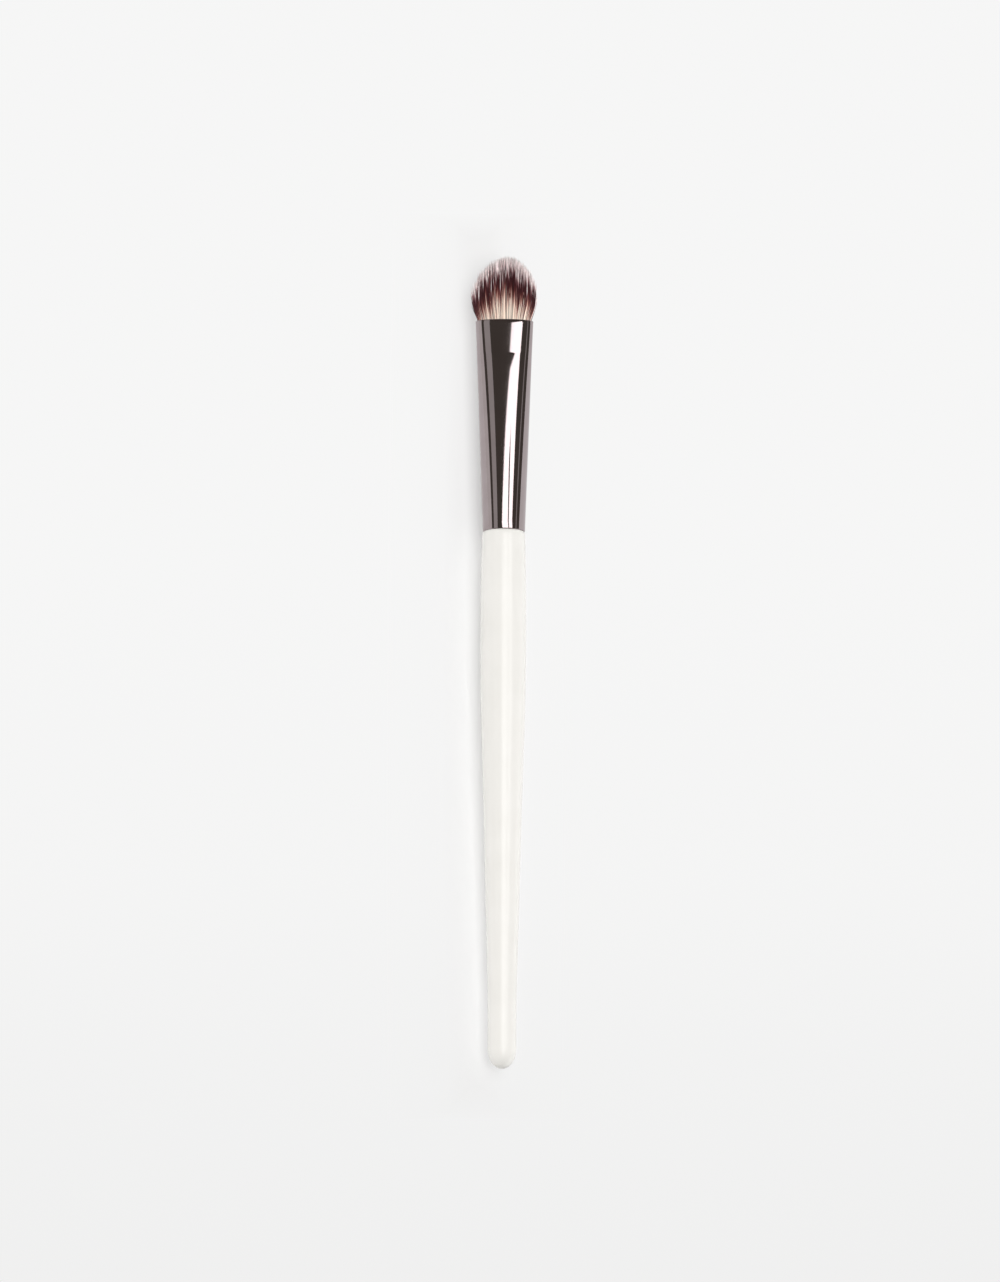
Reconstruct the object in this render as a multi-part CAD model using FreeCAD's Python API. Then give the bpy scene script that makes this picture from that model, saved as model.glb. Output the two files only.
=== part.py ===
import FreeCAD
import Part
import math
import os

# Eyeshadow brush lying on its belly. The brush's axis runs along Y, with the tail at -Y and the
# filaments at +Y, Z is up and the broad faces of the head look up and down. The origin lies under
# the middle of the length, on the surface that the brush lies on. Sizes are in millimetres.

# Lengths along the brush
handle_length = 98.7        # from the tail end to the shoulder
ferrule_length = 39.1       # from the shoulder to the mouth
filament_length = 12.2      # from the mouth to the tips

# Handle, as lacquered
tail_radius = 2.6           # the straight land that stands in a brush holder
tail_nose_length = 3.4      # the rounded end
tail_land_length = 6.0
belly_radius = 4.16         # the thickest place, which the brush lies on
belly_from_shoulder = 19.9  # to the middle of the belly
belly_length = 4.0          # straight stretch of the belly
neck_radius = 3.93          # just behind the shoulder
shoulder_drop = 0.28        # how far the rounded shoulder dips below the neck
shoulder_round_length = 1.1
lacquer_thickness = 0.15
lacquer_at_tail = 0.2       # the dipped coat drains towards the tail

# The taper between the land and the belly: shares of the way along and of the rise in radius
taper_shares = [(0.31, 0.30), (0.58, 0.60), (0.81, 0.90)]

# Handle spigot, glued inside the ferrule
spigot_length = 14.0
spigot_chamfer = 0.5
glue_film = 0.1             # the thinnest place of the glue round the spigot
glue_cap = 0.5              # glue pushed up past the end of the spigot

# Ferrule, a drawn tube that is round at its tail and pressed to an oval at its mouth
ferrule_tail_radius = 3.87
ferrule_wall = 0.4
ramp_from_mouth = 9.6       # where the pressed ramp begins
ramp_half_width = 4.9
ramp_half_height = 3.12
crease_from_mouth = 6.3     # the edge left by the pressing tool
crease_half_width = 5.02
crease_half_height = 2.78
mouth_half_width = 5.27
mouth_half_height = 2.5
rim_round = 0.14            # both ends of the tube

# Filament head, a flat dome outside the mouth
head_half_width = 5.95
head_half_height = 3.45
# Sections of the dome: shares of the filament length, of the half width and of the half height
dome_shares = [
    (0.14, 0.91, 0.84),
    (0.29, 0.985, 0.97),
    (0.42, 1.0, 1.0),
    (0.55, 0.945, 0.93),
    (0.68, 0.83, 0.80),
    (0.80, 0.67, 0.62),
    (0.90, 0.48, 0.42),
    (0.97, 0.26, 0.22),
    (1.0, 0.12, 0.10),
]

# Bending seat: the head turns in the fixed root about a line across the mouth
bend_angle = 25.0           # degrees each way
seat_cover = 0.85           # filaments left round the seat, above and below it
seat_end_cover = 0.4        # filaments left past the ends of the seat
seat_clearance = 0.08
lip_clearance = 0.12        # between the bent head and the rim of the mouth

# Filament root, tied and potted inside the ferrule
air_gap = 2.4               # between the glue on the spigot and the potting resin
resin_below_butt = 4.5      # resin under the cut ends of the filaments
resin_above_butt = 6.5
tied_draw_in = 0.9          # how much the tie narrows the bundle
tie_above_butt = 2.2        # lower edge of the binding thread
tie_width = 1.6
tie_thickness = 0.35

# Between pieces that are bonded or packed into the ferrule
fit_clearance = 0.03

# Past a face that is cut away
overrun = 1.0

# How near a plane an edge counts as lying in it
flatness = 0.001

# Share of the way to its corner at which a cubic curve's handle stands, to draw a quarter of an ellipse
quarter_share = 0.5523

overall_length = handle_length + ferrule_length + filament_length
tail_y = -overall_length / 2
shoulder_y = tail_y + handle_length
mouth_y = shoulder_y + ferrule_length
axis_z = belly_radius
along = FreeCAD.Vector(0, 1, 0)
across = FreeCAD.Vector(1, 0, 0)
axis_point = FreeCAD.Vector(0, 0, axis_z)

# Places inside the ferrule, from its tail
resin_bottom = spigot_length + glue_cap + air_gap
butt_place = resin_bottom + resin_below_butt
resin_top = butt_place + resin_above_butt
tie_bottom = butt_place + tie_above_butt
tie_top = tie_bottom + tie_width

# The ferrule's outside: place from its tail, half width, half height
ferrule_stations = [
    (0, ferrule_tail_radius, ferrule_tail_radius),
    (ferrule_length - ramp_from_mouth, ramp_half_width, ramp_half_height),
    (ferrule_length - crease_from_mouth, crease_half_width, crease_half_height),
    (ferrule_length, mouth_half_width, mouth_half_height),
]


def outline_point(radius, y):
    return FreeCAD.Vector(radius, y, axis_z)


def line(start, end):
    return Part.LineSegment(start, end).toShape()


def quarter_curve(start, corner, end):
    # A quarter of an ellipse from start to end, tangent to both sides of the corner
    curve = Part.BezierCurve()
    curve.setPoles([
        start,
        start + (corner - start) * quarter_share,
        end + (corner - end) * quarter_share,
        end,
    ])
    return curve.toShape()


def turned(edges):
    # A solid of revolution from an outline that starts and ends on the brush's axis
    closing = line(edges[-1].Vertexes[-1].Point, edges[0].Vertexes[0].Point)
    face = Part.Face(Part.Wire(edges + [closing]))
    return face.revolve(axis_point, along, 360)


def handle_outline(inset, tail_inset):
    # The handle's outline from the tail end to the edge of the shoulder, drawn in by inset,
    # and at the rounded tail by tail_inset
    radius = tail_radius - inset
    nose_radius = tail_radius - tail_inset
    nose_y = tail_y + tail_nose_length
    land_y = nose_y + tail_land_length
    belly_y = shoulder_y - belly_from_shoulder
    neck_y = shoulder_y - shoulder_round_length
    end = outline_point(0, tail_y + tail_inset)
    nose = outline_point(nose_radius, nose_y)
    land = outline_point(radius, land_y)
    belly_back = outline_point(belly_radius - inset, belly_y - belly_length / 2)
    belly_front = outline_point(belly_radius - inset, belly_y + belly_length / 2)
    neck = outline_point(neck_radius - inset, neck_y)
    seat = outline_point(neck_radius - shoulder_drop - inset, shoulder_y - inset)
    rise = belly_radius - tail_radius
    taper = [
        outline_point(radius + rise * up_share, land_y + (belly_y - land_y) * way_share)
        for way_share, up_share in taper_shares
    ]
    swell = Part.BSplineCurve()
    swell.interpolate(
        Points=[land] + taper + [belly_back],
        InitialTangent=along,
        FinalTangent=along,
    )
    fall = FreeCAD.Vector(neck.x + neck.x - belly_front.x - belly_front.x, neck.y - belly_front.y, 0)
    sink = Part.BSplineCurve()
    sink.interpolate(
        Points=[belly_front, neck],
        InitialTangent=along,
        FinalTangent=fall.normalize(),
    )
    return [
        quarter_curve(end, outline_point(nose.x, end.y), nose),
        line(nose, land),
        swell.toShape(),
        line(belly_back, belly_front),
        sink.toShape(),
        quarter_curve(neck, outline_point(neck.x, seat.y), seat),
    ]


def half_sizes(place):
    # The ferrule's outer half width and half height at a place measured from its tail
    first, last = ferrule_stations[0], ferrule_stations[-1]
    place = min(max(place, first[0]), last[0])
    for before, after in zip(ferrule_stations, ferrule_stations[1:]):
        if place <= after[0]:
            share = (place - before[0]) / (after[0] - before[0])
            return (
                before[1] + (after[1] - before[1]) * share,
                before[2] + (after[2] - before[2]) * share,
            )


def oval(y, half_width, half_height):
    edge = Part.Ellipse(FreeCAD.Vector(0, 0, 0), half_width, half_height).toShape()
    edge.rotate(FreeCAD.Vector(0, 0, 0), across, 90)
    edge.translate(FreeCAD.Vector(0, y, axis_z))
    return Part.Wire([edge])


def tube_core(start, end, inset):
    # A solid that follows the ferrule between two places, drawn in from its outside by inset
    inner = [station[0] for station in ferrule_stations if start < station[0] < end]
    wires = []
    for place in [start] + inner + [end]:
        half_width, half_height = half_sizes(place)
        wires.append(oval(shoulder_y + place, half_width - inset, half_height - inset))
    return Part.makeLoft(wires, True, True)


def edges_at(shape, y):
    # The edges of a shape that lie whole in the plane at y
    return [
        edge for edge in shape.Edges
        if abs(edge.BoundBox.YMin - y) < flatness and abs(edge.BoundBox.YMax - y) < flatness
    ]


def spigot_radius(place):
    return half_sizes(place)[1] - ferrule_wall - glue_film


def make_handle_core():
    edges = handle_outline(lacquer_thickness, lacquer_at_tail)
    seat = edges[-1].Vertexes[-1].Point
    root = outline_point(spigot_radius(0), seat.y)
    tip_radius = spigot_radius(spigot_length)
    shoulder = outline_point(tip_radius, shoulder_y + spigot_length - spigot_chamfer)
    tip = outline_point(tip_radius - spigot_chamfer, shoulder_y + spigot_length)
    end = outline_point(0, tip.y)
    edges += [line(seat, root), line(root, shoulder), line(shoulder, tip), line(tip, end)]
    return turned(edges)


def make_lacquer(handle_core):
    edges = handle_outline(0, 0)
    seat = edges[-1].Vertexes[-1].Point
    edges.append(line(seat, outline_point(0, seat.y)))
    return turned(edges).cut(handle_core)


def make_ferrule():
    outside = tube_core(0, ferrule_length, 0)
    ends = edges_at(outside, shoulder_y) + edges_at(outside, mouth_y)
    outside = outside.makeFillet(rim_round, ends)
    return outside.cut(tube_core(-overrun, ferrule_length + overrun, ferrule_wall))


def make_spigot_glue():
    glue = tube_core(0, spigot_length + glue_cap, ferrule_wall + fit_clearance)
    root = spigot_radius(0) + fit_clearance
    tip = spigot_radius(spigot_length) + fit_clearance
    length = spigot_length + fit_clearance
    spigot = Part.makeCone(root, tip, length, FreeCAD.Vector(0, shoulder_y, axis_z), along)
    return glue.cut(spigot)


def make_seat(clearance):
    # A round-ended bar across the mouth, about the line on which the head bends
    bar_radius = mouth_half_height - ferrule_wall - seat_cover
    half_length = mouth_half_width - ferrule_wall - seat_end_cover - bar_radius
    radius = bar_radius + clearance
    left = FreeCAD.Vector(-half_length, mouth_y, axis_z)
    right = FreeCAD.Vector(half_length, mouth_y, axis_z)
    bar = Part.makeCylinder(radius, half_length + half_length, left, across)
    return bar.fuse([Part.makeSphere(radius, left), Part.makeSphere(radius, right)]).removeSplitter()


def make_filament_root():
    packed = tube_core(resin_top, ferrule_length, ferrule_wall + fit_clearance)
    tied = tube_core(butt_place, resin_top, ferrule_wall + tied_draw_in)
    return packed.fuse(tied).cut(make_seat(seat_clearance))


def make_binding_thread():
    outer = tube_core(tie_bottom, tie_top, ferrule_wall + tied_draw_in - tie_thickness)
    hole = ferrule_wall + tied_draw_in - fit_clearance
    return outer.cut(tube_core(tie_bottom - overrun, tie_top + overrun, hole))


def make_potting_resin():
    plug = tube_core(resin_bottom, resin_top, ferrule_wall + fit_clearance)
    bundle_inset = ferrule_wall + tied_draw_in - fit_clearance
    bundle = tube_core(butt_place - fit_clearance, resin_top + overrun, bundle_inset)
    tie_inset = bundle_inset - tie_thickness
    tie = tube_core(tie_bottom - fit_clearance, tie_top + fit_clearance, tie_inset)
    return plug.cut(bundle).cut(tie)


def make_filament_head():
    base = oval(
        mouth_y,
        mouth_half_width - ferrule_wall - fit_clearance,
        mouth_half_height - ferrule_wall - fit_clearance,
    )
    rings = [
        oval(
            mouth_y + filament_length * up_share,
            head_half_width * wide_share,
            head_half_height * high_share,
        )
        for up_share, wide_share, high_share in dome_shares
    ]
    dome = Part.makeLoft([base] + rings, True, False)
    # Two wedges are cut away above and below, so that the bent head clears the rim
    reach = head_half_height + overrun
    side = head_half_width + overrun
    lift = lip_clearance + reach * math.tan(math.radians(bend_angle))
    corners = [
        FreeCAD.Vector(-side, mouth_y + lip_clearance, axis_z),
        FreeCAD.Vector(-side, mouth_y + lift, axis_z + reach),
        FreeCAD.Vector(-side, mouth_y - overrun, axis_z + reach),
        FreeCAD.Vector(-side, mouth_y - overrun, axis_z - reach),
        FreeCAD.Vector(-side, mouth_y + lift, axis_z - reach),
    ]
    relief = Part.Face(Part.makePolygon(corners + corners[:1])).extrude(across * (side + side))
    return dome.cut(relief).fuse(make_seat(0)).removeSplitter()


def write(name, shape):
    solids = shape.Solids
    if len(solids) != 1 or not solids[0].isValid():
        raise RuntimeError(f"{name} is not one valid solid")
    solids[0].exportStep(os.path.join("parts", f"{name}.step"))
    print(f"{name}: {solids[0].Volume:.2f} cubic mm")


os.makedirs("parts", exist_ok=True)
handle_core = make_handle_core()
write("handle_core", handle_core)
write("handle_lacquer", make_lacquer(handle_core))
write("ferrule", make_ferrule())
write("spigot_glue", make_spigot_glue())
write("potting_resin", make_potting_resin())
write("binding_thread", make_binding_thread())
write("filament_root", make_filament_root())
write("filament_head", make_filament_head())
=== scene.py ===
import math
import random
import bmesh
import bpy
from mathutils import Matrix, Vector, kdtree
from mathutils.geometry import interpolate_bezier


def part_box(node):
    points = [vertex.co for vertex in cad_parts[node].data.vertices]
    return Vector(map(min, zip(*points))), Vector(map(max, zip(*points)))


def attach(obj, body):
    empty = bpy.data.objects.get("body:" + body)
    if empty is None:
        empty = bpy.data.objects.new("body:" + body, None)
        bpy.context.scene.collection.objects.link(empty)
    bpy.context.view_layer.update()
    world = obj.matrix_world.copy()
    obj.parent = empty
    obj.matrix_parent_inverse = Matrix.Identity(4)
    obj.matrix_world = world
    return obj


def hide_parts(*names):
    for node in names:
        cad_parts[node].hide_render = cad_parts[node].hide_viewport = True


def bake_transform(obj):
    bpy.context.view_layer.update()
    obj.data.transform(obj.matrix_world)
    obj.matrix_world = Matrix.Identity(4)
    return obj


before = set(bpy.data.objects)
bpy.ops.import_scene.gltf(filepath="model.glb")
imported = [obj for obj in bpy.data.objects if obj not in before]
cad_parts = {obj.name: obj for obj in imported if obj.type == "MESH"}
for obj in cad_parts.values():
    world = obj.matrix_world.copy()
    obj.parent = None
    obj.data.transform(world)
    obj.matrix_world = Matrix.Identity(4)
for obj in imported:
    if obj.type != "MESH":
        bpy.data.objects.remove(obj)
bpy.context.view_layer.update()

mm = 0.001
scene = bpy.context.scene
scene.view_settings.view_transform = "Standard"

# Places along the brush, read from the frame
coatLow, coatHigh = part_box("handle_lacquer")
tubeLow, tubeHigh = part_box("ferrule")
axisZ = (coatLow.z + coatHigh.z) / 2
tailY = coatLow.y
shoulderY = tubeLow.y
mouthY = tubeHigh.y
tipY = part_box("filament_head")[1].y
freeLength = tipY - mouthY
print("frame loaded, brush", round((tipY - tailY) / mm, 1), "mm long")


# Small helpers
def turned(angle, axis):
    return Matrix.Rotation(math.radians(angle), 4, axis)


def newFinish(name, surface):
    # a material whose constant values are set on the shader's own sockets
    finish = bpy.data.materials.new(name)
    finish.use_nodes = True
    tree = finish.node_tree
    shader = tree.nodes["Principled BSDF"]
    for key, value in surface.items():
        shader.inputs[key].default_value = value
    return finish, tree, shader


def addNode(tree, kind, **values):
    node = tree.nodes.new(kind)
    for key, value in values.items():
        if key in node.inputs:
            node.inputs[key].default_value = value
        else:
            setattr(node, key, value)
    return node


def objectPlace(tree, stretch=(1, 1, 1), shift=(0, 0, 0)):
    place = addNode(tree, "ShaderNodeTexCoord")
    mapping = addNode(tree, "ShaderNodeMapping", Scale=stretch, Location=shift)
    tree.links.new(place.outputs["Object"], mapping.inputs["Vector"])
    return mapping.outputs["Vector"]


def addNoise(tree, scale, detail, stretch=(1, 1, 1)):
    noise = addNode(tree, "ShaderNodeTexNoise", Scale=scale, Detail=detail)
    tree.links.new(objectPlace(tree, stretch), noise.inputs["Vector"])
    return noise.outputs["Fac"]


def addWave(tree, values):
    wave = addNode(tree, "ShaderNodeTexWave", **values)
    tree.links.new(objectPlace(tree), wave.inputs["Vector"])
    return wave.outputs["Fac"]


def addRamp(tree, source, stops):
    node = addNode(tree, "ShaderNodeValToRGB")
    ramp = node.color_ramp
    while len(ramp.elements) < len(stops):
        ramp.elements.new(1.0)
    for element, (place, colour) in zip(ramp.elements, stops):
        element.position = place
        element.color = (*colour, 1.0)
    tree.links.new(source, node.inputs["Fac"])
    return node.outputs["Color"]


def addRange(tree, source, toRange, fromRange=(0.0, 1.0)):
    node = addNode(tree, "ShaderNodeMapRange")
    keys = ("From Min", "From Max", "To Min", "To Max")
    for key, value in zip(keys, (*fromRange, *toRange)):
        node.inputs[key].default_value = value
    tree.links.new(source, node.inputs["Value"])
    return node.outputs["Result"]


def addMath(tree, operation, *sources):
    node = addNode(tree, "ShaderNodeMath", operation=operation)
    for source, socket in zip(sources, node.inputs):
        tree.links.new(source, socket)
    return node.outputs["Value"]


def addBump(tree, shader, height, depth, strength=1.0):
    bump = addNode(tree, "ShaderNodeBump", Strength=strength, Distance=depth)
    tree.links.new(height, bump.inputs["Height"])
    tree.links.new(bump.outputs["Normal"], shader.inputs["Normal"])


def finishPiece(name, mesh, finish):
    mesh.name = name
    mesh.polygons.foreach_set("use_smooth", [True] * len(mesh.polygons))
    mesh.materials.clear()
    mesh.materials.append(finish)
    piece = bpy.data.objects.new(name, mesh)
    scene.collection.objects.link(piece)
    return piece


def meshFrom(bm):
    mesh = bpy.data.meshes.new("new")
    bm.to_mesh(mesh)
    bm.free()
    return mesh


def bezierQuarter(start, corner, end, steps):
    reach = 0.5523  # handle length that draws a quarter of an ellipse
    first = start.lerp(corner, reach)
    second = end.lerp(corner, reach)
    return interpolate_bezier(start, first, second, end, steps)


# Handle coat: white gloss lacquer, a thin shell over the wooden core
handleSettings = {
    "tailRadius": 2.6 * mm,
    "noseLength": 3.4 * mm,
    "landLength": 6.0 * mm,
    "bellyRadius": 4.16 * mm,
    "bellyFromShoulder": 19.9 * mm,  # to the middle of the belly
    "bellyLength": 4.0 * mm,         # straight stretch
    "neckRadius": 3.93 * mm,
    "shoulderDrop": 0.28 * mm,
    "shoulderRound": 1.1 * mm,
    "coatThickness": 0.15 * mm,
    "taperShares": [(0.31, 0.30), (0.58, 0.60), (0.81, 0.90)],  # of the way to the belly, and of its rise
    "aroundSteps": 128,
    "runSteps": 10,
    "mergeReach": 0.0005 * mm,
    "whites": [(0.35, (0.84, 0.83, 0.798)), (0.65, (0.86, 0.85, 0.82))],
    "cloud": (140.0, 3.0),           # noises: scale, detail
    "haze": (320.0, 4.0),
    "roughness": (0.1, 0.19),
    "peel": (900.0, 1.0),            # orange peel
    "peelBump": (0.004 * mm, 0.5),   # depth, strength
    "surface": {"Specular IOR Level": 0.35, "IOR": 1.48},
}


def lacquerFinish(settings):
    finish, tree, shader = newFinish("white_lacquer", settings["surface"])
    colour = addRamp(tree, addNoise(tree, *settings["cloud"]), settings["whites"])
    tree.links.new(colour, shader.inputs["Base Color"])
    gloss = addRange(tree, addNoise(tree, *settings["haze"]), settings["roughness"])
    tree.links.new(gloss, shader.inputs["Roughness"])
    addBump(tree, shader, addNoise(tree, *settings["peel"]), *settings["peelBump"])
    return finish


def handleOutline(settings, inset):
    # points (radius, y) from the tail end to the edge of the shoulder
    radius = settings["tailRadius"] - inset
    neck = settings["neckRadius"] - inset
    belly = settings["bellyRadius"] - inset
    noseY = tailY + settings["noseLength"]
    landY = noseY + settings["landLength"]
    bellyY = shoulderY - settings["bellyFromShoulder"]
    neckY = shoulderY - settings["shoulderRound"]
    rise = belly - radius
    swell = [Vector((radius, landY))]
    for way, up in settings["taperShares"]:
        swell.append(Vector((radius + rise * up, landY + (bellyY - landY) * way)))
    backY = bellyY - settings["bellyLength"] / 2
    frontY = bellyY + settings["bellyLength"] / 2
    swell.append(Vector((belly, backY)))
    slopes = [0.0]
    for before, here, after in zip(swell, swell[1:], swell[2:]):
        back = (here.x - before.x) / (here.y - before.y)
        ahead = (after.x - here.x) / (after.y - here.y)
        share = (here.y - before.y) / (after.y - before.y)
        slopes.append(back + (ahead - back) * share)
    swell += [Vector((belly, frontY)), Vector((neck, neckY))]
    slopes += [0.0, 0.0, 2 * (neck - belly) / (neckY - frontY)]
    steps = settings["runSteps"]
    tailEnd = Vector((0, tailY + inset))
    nose = Vector((radius, noseY))
    points = bezierQuarter(tailEnd, Vector((radius, tailEnd.y)), nose, steps)
    for here, after, slopeHere, slopeAfter in zip(swell, swell[1:], slopes, slopes[1:]):
        reach = (after.y - here.y) / 3  # handle length of a cubic with these slopes
        first = here + Vector((slopeHere * reach, reach))
        second = after - Vector((slopeAfter * reach, reach))
        points += interpolate_bezier(here, first, second, after, steps)
    edge = Vector((neck - settings["shoulderDrop"], shoulderY - inset))
    points += bezierQuarter(swell[-1], Vector((neck, edge.y)), edge, steps)
    return points


def makeHandle(settings):
    bm = bmesh.new()
    outline = handleOutline(settings, 0.0)
    outline += reversed(handleOutline(settings, settings["coatThickness"]))
    verts = [bm.verts.new((point.x, point.y, axisZ)) for point in outline]
    edges = [bm.edges.new(pair) for pair in zip(verts, verts[1:])]
    bmesh.ops.spin(
        bm, geom=verts + edges, cent=(0, 0, axisZ), axis=(0, 1, 0),
        angle=math.tau, steps=settings["aroundSteps"], use_merge=True,
    )
    bmesh.ops.remove_doubles(bm, verts=bm.verts, dist=settings["mergeReach"])
    bmesh.ops.recalc_face_normals(bm, faces=bm.faces)
    piece = finishPiece("handle_coat", meshFrom(bm), lacquerFinish(settings))
    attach(piece, "stem")
    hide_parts("handle_lacquer")
    return piece


handleCoat = makeHandle(handleSettings)
print("handle coat", len(handleCoat.data.polygons), "faces")


# Ferrule: polished tube, round at the tail, pressed to an oval at the mouth
ferruleSettings = {
    "tailRadius": 3.87 * mm,
    "wall": 0.4 * mm,
    "rimRound": 0.14 * mm,
    "creaseFromMouth": 6.3 * mm,
    "creaseHalf": (5.02 * mm, 2.78 * mm),
    "creaseRound": 0.1 * mm,
    "mouthHalf": (5.27 * mm, 2.5 * mm),
    "tailSlope": 0.0087,           # fall of the broad face at the tail, which grows towards the crease
    "rampLength": 3.0 * mm,
    "rampDrop": 0.035 * mm,
    "aroundSteps": 176,
    "rimTurns": (0, 22.5, 45, 67.5, 90),  # degrees
    "bodyRings": (30, 22),         # rings that the whole tube would take, and how many it gets from its tail
    "rampRings": (0.5 * mm, 10),   # gap and number, up to the crease
    "mouthRings": (0.8 * mm, 7),   # the same past the crease
    "metals": [(0.3, (0.37, 0.315, 0.32)), (0.7, (0.40, 0.345, 0.35))],
    "cloud": (260.0, 3.0),         # noises: scale, detail, stretch
    "polish": (2600.0, 3.0, (1.0, 0.05, 1.0)),  # fine lines along the tube
    "roughness": (0.03, 0.085),
    "ripple": (420.0, 1.0),        # drawn metal is never quite true
    "rippleBump": (0.0015 * mm, 0.6),  # depth, strength
    "surface": {"Metallic": 1.0},
}
tubeLength = mouthY - shoulderY
creasePlace = tubeLength - ferruleSettings["creaseFromMouth"]


def tubeHalf(settings, place):
    # outer half width and half height at a place measured from the tail
    crease = settings["creaseHalf"]
    tail = settings["tailRadius"]
    if place >= creasePlace:
        share = (place - creasePlace) / (tubeLength - creasePlace)
        return tuple(a + (b - a) * share for a, b in zip(crease, settings["mouthHalf"]))
    share = max(place, 0.0) / creasePlace
    early = settings["tailSlope"] * creasePlace
    late = tail - crease[1] - settings["rampDrop"] - early
    past = max(place - (creasePlace - settings["rampLength"]), 0.0) / settings["rampLength"]
    fall = early * share + late * share ** 2 + settings["rampDrop"] * past ** 2
    return tail + (crease[0] - tail) * share, tail - fall


def metalFinish(settings):
    finish, tree, shader = newFinish("dark_nickel", settings["surface"])
    colour = addRamp(tree, addNoise(tree, *settings["cloud"]), settings["metals"])
    tree.links.new(colour, shader.inputs["Base Color"])
    gloss = addRange(tree, addNoise(tree, *settings["polish"]), settings["roughness"])
    tree.links.new(gloss, shader.inputs["Roughness"])
    addBump(tree, shader, addNoise(tree, *settings["ripple"]), *settings["rippleBump"])
    return finish


def tubeRings(settings):
    # each ring's place from the tail, and how far it stands inside the outer surface
    rim = settings["rimRound"]
    wall = settings["wall"]
    crease = settings["creaseRound"]
    turns = [math.radians(angle) for angle in settings["rimTurns"]]
    whole, used = settings["bodyRings"]
    places = [tubeLength * step / whole for step in range(1, used + 1)]
    gap, number = settings["rampRings"]
    places += [creasePlace - gap * number + gap * step for step in range(number)]
    places += [creasePlace - crease, creasePlace, creasePlace + crease]
    gap, number = settings["mouthRings"]
    places += [creasePlace + gap * step for step in range(1, number + 1)]
    places = sorted(place for place in places if rim * 2 < place < tubeLength - rim * 2)
    rings = [(rim - rim * math.cos(turn), rim - rim * math.sin(turn)) for turn in turns]
    rings += [(place, 0.0) for place in places]
    for turn in reversed(turns):
        rings.append((tubeLength - rim + rim * math.cos(turn), rim - rim * math.sin(turn)))
    rings.append((tubeLength, wall))
    rings += [(place, wall) for place in reversed(places)]
    rings.append((0.0, wall))
    return rings


def makeFerrule(settings):
    bm = bmesh.new()
    first = bmesh.ops.create_circle(
        bm, segments=settings["aroundSteps"], radius=1.0, matrix=turned(90, "X"),
    )
    verts = first["verts"]
    unit = [vert.co.copy() for vert in verts]
    edges = bm.edges[:]
    firstEdges = edges
    for count, (place, inset) in enumerate(tubeRings(settings)):
        if count:
            grown = bmesh.ops.extrude_edge_only(bm, edges=edges)["geom"]
            verts = [item for item in grown if isinstance(item, bmesh.types.BMVert)]
            ring = set(verts)
            edges = [
                item for item in grown
                if isinstance(item, bmesh.types.BMEdge) and ring.issuperset(item.verts)
            ]
        wide, high = tubeHalf(settings, place)
        for vert, start in zip(verts, unit):
            vert.co = ((wide - inset) * start.x, shoulderY + place, axisZ + (high - inset) * start.z)
    bmesh.ops.bridge_loops(bm, edges=firstEdges + edges)
    bmesh.ops.recalc_face_normals(bm, faces=bm.faces)
    piece = finishPiece("ferrule_tube", meshFrom(bm), metalFinish(settings))
    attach(piece, "stem")
    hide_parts("ferrule")
    return piece


ferruleTube = makeFerrule(ferruleSettings)
print("ferrule tube", len(ferruleTube.data.polygons), "faces")


# Filaments: tapered strands in three layers, potted in the ferrule and domed at the tips
filamentSettings = {
    "seed": 7,
    "count": 4600,
    "countScatter": 0.012,         # how far strands and clumps lie out of their even places
    "clumps": 2400,
    "clumpScatter": 0.02,
    "layers": ("back", "middle", "front"),
    "thickness": 0.105 * mm,
    "tipRadii": (0.92, 0.6, 0.14),  # of the last three rings, as shares of the strand's
    "packedInset": 0.47 * mm,      # ferrule wall and the half strand beside it
    "tiedInset": 1.35 * mm,
    "buttFromMouth": 17.7 * mm,
    "tieFromMouth": 14.7 * mm,
    "resinTopFromMouth": 11.2 * mm,
    "packedFromMouth": 0.6 * mm,
    "headHalf": (5.9 * mm, 3.4 * mm),
    "fullestHeight": 4.4 * mm,
    "tipHalfHeight": 1.0 * mm,     # half height of the flat tip edge
    "thinPower": 1.6,              # above 1, the head gets thin late
    "topHeight": 12.45 * mm,       # of the longest strands
    "sideTop": 5.6 * mm,           # height of the strands at the two sides
    "faceDrop": 0.5 * mm,          # how much shorter the strands on the broad faces are
    "domePowers": (1.9, 0.62),     # how square and how blunt the dome is
    "domeShift": 0.08,             # share of the half width by which the dome leans to one side
    "lengthSpread": (0.6 * mm, 3.2 * mm),  # shorter by up to this, clump by clump and strand by strand
    "shortPower": 1.35,            # above 1, more strands are near full length
    "tipSpread": 0.12 * mm,
    "strayPower": 2,               # above 1, strays leave the bundle late
    "clumpPull": (0.1, 0.45),      # share by which tips are drawn to the middle of their clump
    "pullPower": 1.5,
    "dyeSides": 0.35,              # mm by which the dye is nearer the tips at the two sides
    "dyeSpread": (0.35, 1.1),      # mm, from clump to clump and from strand to strand
    "paleShare": 0.03,             # strands whose pale tip reaches further down
    "paleReach": 2.5,              # mm
    "toneRange": (0.3, 1.65),
    "clumpToneShare": 0.5,
    "ringShares": (0.1, 0.28, 0.46, 0.64, 0.82, 1.0),
    "dye": [                       # mm from the tip
        (0.0, (0.97, 0.92, 0.91)),
        (1.75, (0.88, 0.77, 0.76)),
        (2.5, (0.36, 0.19, 0.20)),
        (3.35, (0.056, 0.016, 0.019)),
        (6.1, (0.05, 0.014, 0.016)),
        (7.2, (0.14, 0.036, 0.032)),
        (8.2, (0.46, 0.255, 0.21)),
        (9.6, (0.76, 0.66, 0.575)),
    ],
    "dyeFollowsDome": 0.8,         # share by which a short strand takes the full dome's dye at its height
    "dyeReach": 12.0,              # mm
    "bendLength": 8.0 * mm,
    "surface": {"Roughness": 0.45, "Specular IOR Level": 0.15},
}


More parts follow.
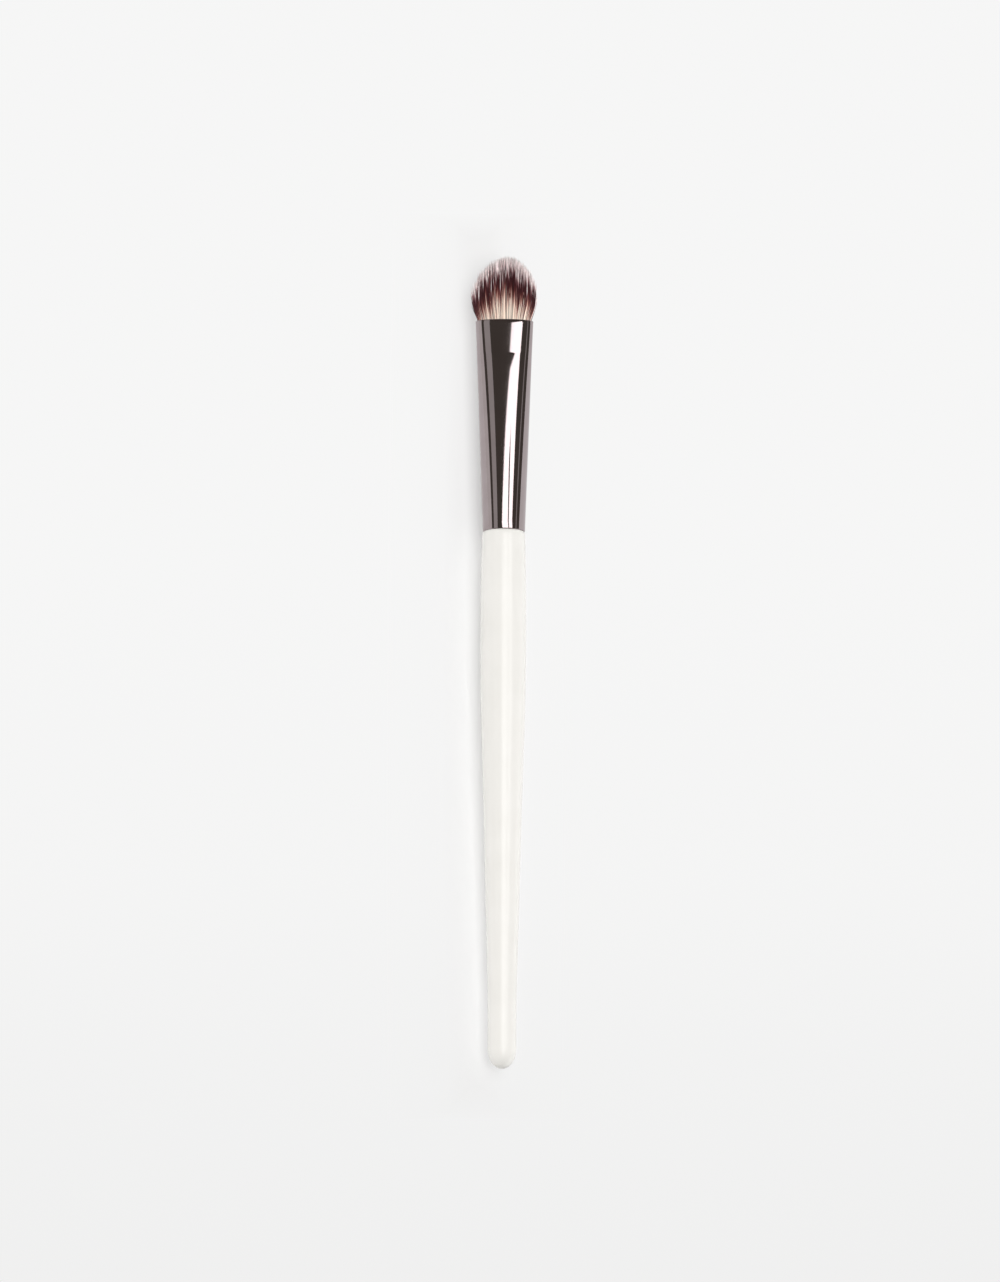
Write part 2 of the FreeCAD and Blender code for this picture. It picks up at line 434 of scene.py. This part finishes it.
def filamentFinish(settings):
    finish, tree, shader = newFinish("banded_filament", settings["surface"])
    fromTip = addNode(tree, "ShaderNodeAttribute", attribute_name="fromTip")
    tone = addNode(tree, "ShaderNodeAttribute", attribute_name="tone")
    reach = settings["dyeReach"]
    along = addRange(tree, fromTip.outputs["Fac"], (0.0, 1.0), (0.0, reach))
    dye = addRamp(tree, along, [(mmFrom / reach, colour) for mmFrom, colour in settings["dye"]])
    shade = addNode(tree, "ShaderNodeHueSaturation")
    tree.links.new(dye, shade.inputs["Color"])
    tree.links.new(addRange(tree, tone.outputs["Fac"], settings["toneRange"]), shade.inputs["Value"])
    tree.links.new(shade.outputs["Color"], shader.inputs["Base Color"])
    return finish


def sunflower(count, spread, draw):
    # points spread evenly over a unit disc, each a little out of place
    golden = math.pi * (3 - math.sqrt(5))
    points = []
    for step in range(count):
        reach = math.sqrt((step + 0.5) / count)
        point = Vector((math.cos(step * golden), math.sin(step * golden))) * reach
        point += Vector((draw.gauss(0, spread), draw.gauss(0, spread)))
        points.append(point / max(point.length, 1.0))
    return points


def ease(share):
    return math.sin(min(max(share, 0.0), 1.0) * math.pi / 2)


def headHalf(settings, height):
    # half width and half height of the bundle at a height above the mouth
    mouth = [half - settings["packedInset"] for half in ferruleSettings["mouthHalf"]]
    wide, high = settings["headHalf"]
    full = settings["fullestHeight"]
    if height < full:
        share = ease(height / full)
        return mouth[0] + (wide - mouth[0]) * share, mouth[1] + (high - mouth[1]) * share
    share = min((height - full) / (freeLength - full), 1.0)
    return wide, high + (settings["tipHalfHeight"] - high) * share ** settings["thinPower"]


def strandLine(settings, place, draw, clumpPlace, clumpTilt, clumpShort):
    # one strand from its cut end in the resin to its tip: points, and how far each is from the tip in mm
    powerIn, powerOut = settings["domePowers"]
    across = abs(place.x - settings["domeShift"] * (1 - place.x ** 2))
    dome = max(1 - across ** powerIn, 0.0) ** powerOut
    top = settings["sideTop"] + (settings["topHeight"] - settings["sideTop"]) * dome
    top -= settings["faceDrop"] * place.y ** 2
    short = clumpShort + settings["lengthSpread"][1] * draw.random() ** settings["shortPower"]
    top -= short
    pull = draw.uniform(*settings["clumpPull"])
    stray = Vector((draw.gauss(0, 1), draw.gauss(0, 1))) * settings["tipSpread"] + clumpTilt
    points = []
    for fromMouth, inset in (
        (settings["buttFromMouth"], settings["tiedInset"]),
        (settings["tieFromMouth"], settings["tiedInset"]),
        (settings["resinTopFromMouth"], settings["tiedInset"]),
        (settings["packedFromMouth"], settings["packedInset"]),
    ):
        wide, high = tubeHalf(ferruleSettings, tubeLength - fromMouth)
        points.append(Vector((place.x * (wide - inset), -fromMouth, place.y * (high - inset))))
    for share in settings["ringShares"]:
        height = top * share
        wide, high = headHalf(settings, height)
        drawn = place.lerp(clumpPlace, pull * share ** settings["pullPower"])
        bend = stray * share ** settings["strayPower"]
        points.append(Vector((drawn.x * wide + bend.x, height, drawn.y * high + bend.y)))
    dyed = top + short * settings["dyeFollowsDome"]
    return points, [(dyed - point.y) / mm for point in points]


def strandMesh(settings, name, strands):
    # round strands from a bevelled curve, with the distance from the tip and a tone kept on each ring
    curve = bpy.data.curves.new(name, "CURVE")
    curve.dimensions = "3D"
    curve.bevel_mode = "ROUND"
    curve.bevel_depth = settings["thickness"] / 2
    curve.bevel_resolution = 0
    curve.use_fill_caps = False
    sides = 4  # what this bevel gives a ring
    ends = settings["tipRadii"]
    fromTip = []
    tones = []
    for points, distances, shift, tone in strands:
        spline = curve.splines.new("POLY")
        spline.points.add(len(points) - 1)
        radii = (1.0,) * (len(points) - len(ends)) + ends
        for dot, point, radius in zip(spline.points, points, radii):
            dot.co = (point.x, mouthY + point.y, axisZ + point.z, 1.0)
            dot.radius = radius
        for distance in distances:
            fromTip += [max(distance + shift, 0.0)] * sides
            tones += [tone] * sides
    holder = bpy.data.objects.new(name, curve)
    scene.collection.objects.link(holder)
    bpy.context.view_layer.update()
    mesh = bpy.data.meshes.new_from_object(holder.evaluated_get(bpy.context.evaluated_depsgraph_get()))
    bpy.data.objects.remove(holder)
    bpy.data.curves.remove(curve)
    for key, values in (("fromTip", fromTip), ("tone", tones)):
        mesh.attributes.new(key, "FLOAT", "POINT").data.foreach_set("value", values)
    bm = bmesh.new()
    bm.from_mesh(mesh)
    bmesh.ops.holes_fill(bm, edges=bm.edges, sides=sides)  # cut ends and tips
    bm.to_mesh(mesh)
    bm.free()
    mesh.uv_layers.remove(mesh.uv_layers[0])
    return mesh


def growStrands(settings):
    # every strand's height in the bundle, and what strandMesh needs of it
    draw = random.Random(settings["seed"])
    clumps = sunflower(settings["clumps"], settings["clumpScatter"], draw)
    near = kdtree.KDTree(len(clumps))
    for count, clump in enumerate(clumps):
        near.insert((*clump, 0.0), count)
    near.balance()
    spread = settings["tipSpread"]
    clumpShift = [draw.gauss(0, settings["dyeSpread"][0]) for clump in clumps]
    clumpTilt = [Vector((draw.gauss(0, 1), draw.gauss(0, 1))) * spread for clump in clumps]
    clumpTone = [draw.random() for clump in clumps]
    clumpShort = [draw.uniform(0, settings["lengthSpread"][0]) for clump in clumps]
    strands = []
    for place in sunflower(settings["count"], settings["countScatter"], draw):
        clump = near.find((*place, 0.0))[1]
        points, distances = strandLine(
            settings, place, draw, clumps[clump], clumpTilt[clump], clumpShort[clump],
        )
        shift = clumpShift[clump] + draw.gauss(0, settings["dyeSpread"][1])
        shift += settings["dyeSides"] * place.x ** 2
        if draw.random() < settings["paleShare"]:
            shift -= settings["paleReach"]
        own = draw.random()
        tone = own + (clumpTone[clump] - own) * settings["clumpToneShare"]
        strands.append((place.y, (points, distances, shift, tone)))
    return strands


def makeFilaments(settings):
    strands = sorted(growStrands(settings), key=lambda strand: strand[0])
    finish = filamentFinish(settings)
    share = len(strands) // len(settings["layers"])
    bundle = []
    for count, layer in enumerate(settings["layers"]):
        name = "filaments_" + layer
        chosen = [strand for height, strand in strands[count * share:(count + 1) * share]]
        piece = finishPiece(name, strandMesh(settings, name, chosen), finish)
        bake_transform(piece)
        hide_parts("filament_root", "filament_head")
        bundle.append(piece)
    return bundle


bundle = makeFilaments(filamentSettings)
print("filaments", sum(len(piece.data.polygons) for piece in bundle), "faces in", len(bundle), "layers")


# Inner pieces keep their CAD shape and get their own finishes
innerSettings = {
    "handle_core": {
        "finish": "turned_birch",
        "noise": (900.0, 5.0, (1.0, 0.04, 1.0)),  # scale, detail, and a stretch along the grain
        "stops": [(0.3, (0.62, 0.45, 0.27)), (0.6, (0.76, 0.60, 0.40))],
        "depth": 0.02 * mm,
        "surface": {"Roughness": 0.6},
    },
    "spigot_glue": {
        "finish": "set_glue",
        "noise": (700.0, 4.0),
        "stops": [(0.35, (0.74, 0.66, 0.44)), (0.7, (0.84, 0.78, 0.60))],
        "depth": 0.03 * mm,
        "surface": {"Roughness": 0.4},
    },
    "potting_resin": {
        "finish": "amber_resin",
        "noise": (500.0, 4.0),
        "stops": [(0.3, (0.62, 0.45, 0.18)), (0.7, (0.78, 0.63, 0.34))],
        "depth": 0.03 * mm,
        "surface": {"Roughness": 0.25},
    },
    "binding_thread": {
        "finish": "twisted_cotton",
        "wave": {"Scale": 900.0, "Distortion": 1.5, "Detail": 2.0, "bands_direction": "Y"},
        "stops": [(0.3, (0.66, 0.60, 0.50)), (0.6, (0.88, 0.85, 0.78))],
        "depth": 0.06 * mm,
        "surface": {"Roughness": 0.85},
    },
}


def innerFinish(settings):
    finish, tree, shader = newFinish(settings["finish"], settings["surface"])
    if "wave" in settings:
        pattern = addWave(tree, settings["wave"])
    else:
        pattern = addNoise(tree, *settings["noise"])
    tree.links.new(addRamp(tree, pattern, settings["stops"]), shader.inputs["Base Color"])
    addBump(tree, shader, pattern, settings["depth"])
    return finish


for name, settings in innerSettings.items():
    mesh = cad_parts[name].data
    mesh.materials.clear()
    mesh.materials.append(innerFinish(settings))
print("inner pieces dressed")


# Studio: pale floor, a key panel with a seam, dimmer panels for the metal, camera as in the photo
floorSettings = {
    "radius": 6.0,
    "aroundSteps": 96,
    "lean": -1.0,                    # degrees
    "pales": [(0.3, (0.782, 0.784, 0.787)), (0.7, (0.792, 0.794, 0.797))],
    "cloud": (3.0, 2.0),             # scale, detail
    "surface": {"Roughness": 0.9, "Specular IOR Level": 0.1},
    # painted light: the glow's colour grows dimmer towards the tail, a painted falloff of the light along
    # the floor
    "glows": [
        (0.0, (0.871, 0.871, 0.869)),
        (0.3, (0.888, 0.888, 0.886)),
        (0.55, (0.909, 0.909, 0.907)),
        (1.0, (0.922, 0.922, 0.92)),
    ],
    "glowFall": (-0.112, 0.02),      # metres along the brush, between which the glow's colour changes
    "glowReach": (0.016, 0.3, 0.8),  # metres, past which only the glow shows
    "glowShift": (0.3, 0.02, 0.0),   # shares of that reach, so that the least glow is over the shadow
    "glowEnds": (0.074, 0.084),      # metres from the middle, where the least glow ends along the brush
    "glowShares": [(0.0, 1.0), (0.3, 0.97), (0.45, 0.93), (0.6, 0.85), (0.75, 0.42), (0.95, 0.12)],
}
lampSettings = {
    # seen in the gloss: a level key with a seam between its windows, and boards at the left
    "keyCorner": (-0.17, 0.217, 0.95),  # far left
    "keyTurn": 16.7,             # degrees
    "keyWindows": [(0.0, 1.065, 0.0, 0.09), (0.0, 0.515, 0.09, 0.5), (0.615, 1.065, 0.09, 0.5)],
    "keyTone": 3.0,
    # all below: degrees to the right of straight up, metres away, size, brightness
    "boards": [(-78.5, 1.0, (0.44, 1.6), 0.75), (-43.5, 1.0, (0.36, 1.6), 0.45)],
    "edgeStrip": (68.5, 1.0, (0.09, 1.6), 0.3),
    # light on the surfaces
    "soft": (13.0, 1.0, (0.5, 1.1), 4.08),
    "washes": [(-64.0, 1.4, (1.2, 1.6), 2.2), (64.0, 1.4, (1.2, 1.6), 1.7)],
}
roomTone = (0.1, 0.09, 0.078)
photoView = {
    "lens": 400.0,
    "tilt": 10.0,            # degrees off straight down, towards the tail
    "roll": 0.2,
    "imageHeight": 1282,     # px
    "pixelsPerMm": 5.5,
    "aim": (-0.62 * mm, 3.56 * mm),
}


def floorFinish(settings):
    finish, tree, shader = newFinish("pale_floor", settings["surface"])
    colour = addRamp(tree, addNoise(tree, *settings["cloud"]), settings["pales"])
    tree.links.new(colour, shader.inputs["Base Color"])
    # seen straight or in a reflection, the floor glows: little over the shadow and fully further off
    rays = addNode(tree, "ShaderNodeLightPath")
    seen = rays.outputs["Is Camera Ray"]
    for kind in ("Is Glossy Ray", "Is Transmission Ray"):
        seen = addMath(tree, "ADD", seen, rays.outputs[kind])
    spread = addNode(tree, "ShaderNodeTexGradient", gradient_type="SPHERICAL")
    stretch = [1 / reach for reach in settings["glowReach"]]
    tree.links.new(objectPlace(tree, stretch, settings["glowShift"]), spread.inputs["Vector"])
    shares = [(place, (share,) * 3) for place, share in settings["glowShares"]]
    around = addRamp(tree, spread.outputs["Fac"], shares)
    split = addNode(tree, "ShaderNodeSeparateXYZ")
    tree.links.new(objectPlace(tree), split.inputs["Vector"])
    along = split.outputs["Y"]
    past = addRange(tree, addMath(tree, "ABSOLUTE", along), (0.0, 1.0), settings["glowEnds"])
    part = addMath(tree, "MULTIPLY", addMath(tree, "MAXIMUM", around, past), seen)
    # painted light: an emission that lifts the floor's brightness for the camera and in reflections
    glow = addNode(tree, "ShaderNodeEmission")
    # painted falloff: the glow's colour dims towards the tail
    fall = addRange(tree, along, (0.0, 1.0), settings["glowFall"])
    tree.links.new(addRamp(tree, fall, settings["glows"]), glow.inputs["Color"])
    blend = addNode(tree, "ShaderNodeMixShader")
    for source, socket in zip((part, shader.outputs["BSDF"], glow.outputs["Emission"]), blend.inputs):
        tree.links.new(source, socket)
    tree.links.new(blend.outputs["Shader"], tree.nodes["Material Output"].inputs["Surface"])
    return finish


def layFloor(settings):
    rise = math.tan(math.radians(settings["lean"]))
    lowest = min(vert.co.z - vert.co.y * rise for vert in handleCoat.data.vertices)
    bm = bmesh.new()
    bmesh.ops.create_circle(
        bm, cap_ends=True, segments=settings["aroundSteps"], radius=settings["radius"],
        matrix=Matrix.Translation((0, 0, lowest)) @ turned(settings["lean"], "X"),
    )
    floor = finishPiece("floor", meshFrom(bm), floorFinish(settings))


def hangPanel(name, place, size, tone, reflected):
    # a panel either shows in the gloss or lights the surfaces
    data = bpy.data.lights.new(name, "AREA")
    data.shape = "RECTANGLE"
    data.size, data.size_y = size
    data.energy = tone * math.pi * data.size * data.size_y
    lamp = bpy.data.objects.new(name, data)
    lamp.matrix_world = place
    lamp.visible_camera = False
    lamp.visible_glossy = reflected
    lamp.visible_diffuse = not reflected
    scene.collection.objects.link(lamp)
    return lamp


def hangKey(settings):
    corner = Matrix.Translation(settings["keyCorner"]) @ turned(settings["keyTurn"], "Z")
    for left, right, far, near in settings["keyWindows"]:
        middle = Matrix.Translation(((left + right) / 2, -(far + near) / 2, 0))
        hangPanel("key_window", corner @ middle, (right - left, near - far), settings["keyTone"], True)


def hangRound(name, settings, reflected):
    angle, away, size, tone = settings
    place = turned(angle, "Y") @ Matrix.Translation((0, 0, away))
    return hangPanel(name, place, size, tone, reflected)


def hangLamps(settings):
    hangKey(settings)
    for board in settings["boards"]:
        hangRound("board", board, True)
    hangRound("edge_strip", settings["edgeStrip"], True)
    hangRound("soft_key", settings["soft"], False)
    for wash in settings["washes"]:
        data = hangRound("wash", wash, False).data
        data.use_shadow = False
        data.cycles.use_multiple_importance_sampling = False  # else some of its light still casts a shadow


def placeCamera(settings):
    data = bpy.data.cameras.new("photo_camera")
    data.lens = settings["lens"]
    camera = bpy.data.objects.new("photo_camera", data)
    turn = turned(settings["tilt"], "X") @ turned(settings["roll"], "Z")
    away = settings["lens"] / data.sensor_width * settings["imageHeight"] / settings["pixelsPerMm"] * mm
    target = Vector((*settings["aim"], axisZ))
    camera.matrix_world = Matrix.Translation(target) @ turn @ Matrix.Translation((0, 0, away))
    scene.collection.objects.link(camera)
    scene.camera = camera


def lightRoom(tone):
    world = bpy.data.worlds.new("room")
    world.use_nodes = True
    world.node_tree.nodes["Background"].inputs["Color"].default_value = (*tone, 1.0)
    scene.world = world


layFloor(floorSettings)
hangLamps(lampSettings)
lightRoom(roomTone)
placeCamera(photoView)
print("studio set")
